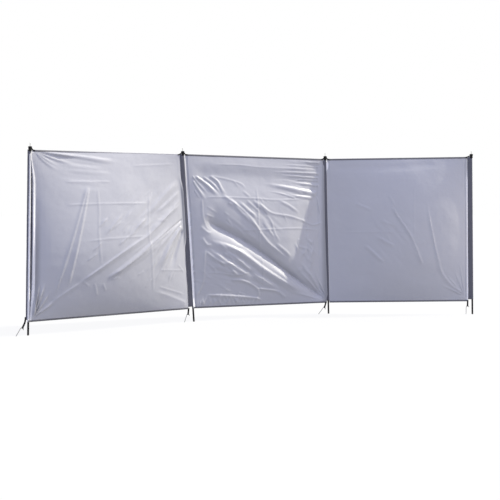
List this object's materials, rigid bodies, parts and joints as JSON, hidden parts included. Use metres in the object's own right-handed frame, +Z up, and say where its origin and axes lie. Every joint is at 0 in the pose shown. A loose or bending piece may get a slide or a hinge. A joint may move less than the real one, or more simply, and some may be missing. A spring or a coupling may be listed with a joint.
{
  "type": "windbreak",
  "caption": "Fabric windbreak of silver cloth bays with dark pole sleeves, hung between slim black poles set in the ground and tied down by webbing loops and wire pegs",
  "frame": {"origin": "middle of the left pole where it meets the ground", "axes": "+X to the right along the run of bays, +Y to the back, +Z up"},
  "size_m": [4.0486, 1.2446, 1.581],
  "materials": {
    "pole_paint": "satin",
    "pin_steel": "bright",
    "cap_plastic": "satin",
    "sleeve_cloth": "matt",
    "silver_cloth": "coated satin",
    "silver_seam": "coated satin",
    "binding_tape": "matt",
    "black_webbing": "matt",
    "peg_steel": "galvanised"
  },
  "bodies": {
    "root": {"left_pole": "pole_paint", "second_pole": "pole_paint", "third_pole": "pole_paint", "right_pole": "pole_paint", "left_pin": "pin_steel", "second_pin": "pin_steel", "third_pin": "pin_steel", "right_pin": "pin_steel", "left_cap": "cap_plastic", "second_cap": "cap_plastic", "third_cap": "cap_plastic", "right_cap": "cap_plastic", "left_sleeve": "sleeve_cloth", "second_sleeve": "sleeve_cloth", "third_sleeve": "sleeve_cloth", "right_sleeve": "sleeve_cloth", "left_top_loop": "black_webbing", "second_top_loop": "black_webbing", "third_top_loop": "black_webbing", "right_top_loop": "black_webbing", "left_peg_loop": "black_webbing", "second_peg_loop": "black_webbing", "third_peg_loop": "black_webbing", "right_peg_loop": "black_webbing", "left_peg": "peg_steel", "second_peg": "peg_steel", "third_peg": "peg_steel", "right_peg": "peg_steel", "left_panel": "silver_cloth", "middle_panel": "silver_cloth", "right_panel": "silver_cloth", "left_panel_left_seam": "silver_seam", "middle_panel_left_seam": "silver_seam", "right_panel_left_seam": "silver_seam", "left_panel_right_seam": "silver_seam", "middle_panel_right_seam": "silver_seam", "right_panel_right_seam": "silver_seam", "left_top_binding": "binding_tape", "middle_top_binding": "binding_tape", "right_top_binding": "binding_tape", "left_bottom_binding": "binding_tape", "middle_bottom_binding": "binding_tape", "right_bottom_binding": "binding_tape"}
  },
  "joints": []
}
